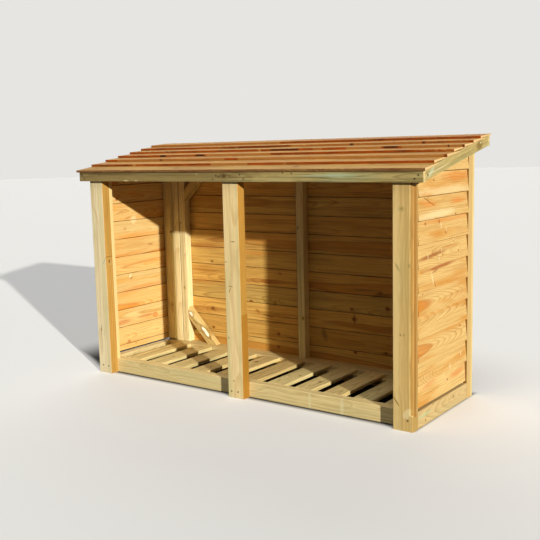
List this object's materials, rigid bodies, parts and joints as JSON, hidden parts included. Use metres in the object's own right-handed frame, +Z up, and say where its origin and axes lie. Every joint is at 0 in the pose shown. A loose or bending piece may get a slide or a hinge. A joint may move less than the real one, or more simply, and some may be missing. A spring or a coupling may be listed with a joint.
{
  "type": "log store",
  "caption": "Open-fronted timber log store with lapped board sides and back, slatted floor and a lapped board pent roof.",
  "frame": {"origin": "centre of the overall bounding box, on the ground", "axes": "+X along the width, to the right as seen from the open front; +Y from the open front to the back; +Z up"},
  "size_m": [1.964, 0.6838, 1.1949],
  "materials": {
    "post_timber": "planed, pressure treated, unpainted",
    "frame_timber": "planed, pressure treated, unpainted",
    "brace_timber": "planed with bark-edge patches, unpainted",
    "cladding": "planed feather-edge boards, unpainted",
    "slat_timber": "weathered, unpainted",
    "trim_timber": "planed, green-tinged treatment, unpainted",
    "roof_timber": "rough sawn, weathered, unpainted"
  },
  "bodies": {
    "root": {"back_boards": "cladding", "back_bottom_rail": "frame_timber", "back_stud_left": "frame_timber", "back_stud_middle": "frame_timber", "back_stud_right": "frame_timber", "back_top_rail": "frame_timber", "brace_bottom_left": "brace_timber", "brace_bottom_right": "brace_timber", "brace_top_left": "brace_timber", "brace_top_right": "brace_timber", "corner_strips_left": "frame_timber", "corner_strips_right": "frame_timber", "fascia_front": "trim_timber", "fascia_rear": "trim_timber", "floor_bearer_front": "frame_timber", "floor_bearer_rear": "frame_timber", "floor_front_rail": "frame_timber", "floor_rear_rail": "frame_timber", "floor_slats": "slat_timber", "front_post_left": "post_timber", "front_post_middle": "post_timber", "front_post_right": "post_timber", "rafter_left": "trim_timber", "rafter_middle_left": "frame_timber", "rafter_middle_right": "frame_timber", "rafter_right": "trim_timber", "rear_post_left": "post_timber", "rear_post_right": "post_timber", "roof_board_1": "roof_timber", "roof_board_2": "roof_timber", "roof_board_3": "roof_timber", "roof_board_4": "roof_timber", "roof_board_5": "roof_timber", "roof_board_6": "roof_timber", "roof_board_7": "roof_timber", "side_battens_left": "frame_timber", "side_battens_right": "frame_timber", "side_boards_left": "cladding", "side_boards_right": "cladding", "side_rail_left": "frame_timber", "side_rail_right": "frame_timber"}
  },
  "joints": []
}
